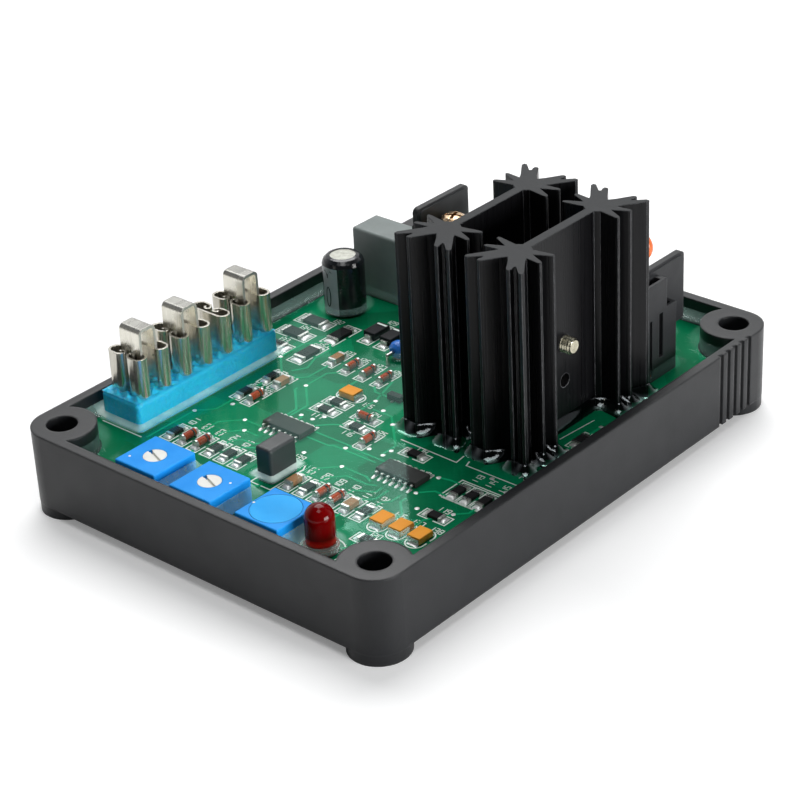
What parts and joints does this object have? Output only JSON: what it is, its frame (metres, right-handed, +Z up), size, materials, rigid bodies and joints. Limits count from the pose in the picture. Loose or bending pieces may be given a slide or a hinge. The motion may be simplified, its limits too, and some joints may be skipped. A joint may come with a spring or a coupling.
{
  "type": "automatic voltage regulator",
  "caption": "Potted generator voltage regulator: shallow black tray, green board, finned heat sinks, trimmers, plug-in jumpers and a barrier terminal strip.",
  "frame": {"origin": "middle of the tray in plan, on the surface that the four feet stand on", "axes": "+Z up from the feet, +Y along the tray towards the terminal strip, +X towards the heat sinks"},
  "size_m": [0.082, 0.108, 0.049],
  "materials": {
    "tray_plastic": "satin moulded black",
    "resin": "cast clear resin",
    "board_green": "green solder mask under clear resin",
    "black_anodised": "black anodised extrusion",
    "tinned_metal": "tinned sheet and wire",
    "plated_steel": "yellow zinc plated",
    "yellow_brass": "passivated, slightly dull",
    "black_moulding": "moulded epoxy",
    "block_cyan": "waxy moulded cyan",
    "trimmer_blue": "moulded vivid blue",
    "trimmer_white": "moulded white",
    "lamp_red": "tinted clear epoxy",
    "bare_aluminium": "drawn, bare",
    "sleeve_black": "shrunk sleeve",
    "capacitor_grey": "moulded grey",
    "tantalum_orange": "moulded orange",
    "ceramic_tan": "fired ceramic",
    "diode_red": "red glass",
    "resistor_blue": "dipped coating",
    "dipped_orange": "dipped coating",
    "strip_grey": "moulded dark grey"
  },
  "bodies": {
    "base": {"case_tray": "tray_plastic", "potting_resin": "resin", "circuit_board": "board_green", "heat_sink_inner": "black_anodised", "heat_sink_outer": "black_anodised", "heat_sink_pins": "tinned_metal", "power_device_bodies": "black_moulding", "power_device_tabs": "tinned_metal", "device_screws": "plated_steel", "jumper_block": "block_cyan", "receptacles": "tinned_metal", "jumper_clip_front": "tinned_metal", "jumper_clip_middle": "tinned_metal", "jumper_clip_rear": "tinned_metal", "trimmer_left_body": "trimmer_blue", "trimmer_middle_body": "trimmer_blue", "trimmer_right_body": "trimmer_blue", "trimmer_cover": "trimmer_blue", "indicator_lamp": "lamp_red", "electrolytic_can": "bare_aluminium", "electrolytic_sleeve": "sleeve_black", "film_capacitor_large": "capacitor_grey", "film_capacitor_small": "capacitor_grey", "ic_bodies": "black_moulding", "ic_leads": "tinned_metal", "tantalum_capacitors": "tantalum_orange", "chip_resistors": "black_moulding", "chip_capacitors": "ceramic_tan", "chip_ends": "tinned_metal", "glass_diodes": "diode_red", "moulded_diodes": "black_moulding", "axial_resistor": "resistor_blue", "dipped_capacitor": "dipped_orange", "terminal_strip": "strip_grey", "terminal_plates": "plated_steel", "wire_clamps": "plated_steel", "terminal_screws": "yellow_brass", "lead_wires": "tinned_metal"},
    "left_rotor": {"trimmer_left_rotor": "trimmer_white"},
    "middle_rotor": {"trimmer_middle_rotor": "trimmer_white"}
  },
  "joints": [
    {"name": "left_trimmer_turn", "type": "hinge", "parent": "base", "child": "left_rotor", "pos_m": [-0.01486, -0.0466, 0.0145], "axis": [0, 0, 1], "range_deg": [-130, 130]},
    {"name": "middle_trimmer_turn", "type": "hinge", "parent": "base", "child": "middle_rotor", "pos_m": [-0.00167, -0.047, 0.0145], "axis": [0, 0, 1], "range_deg": [-130, 130]}
  ]
}
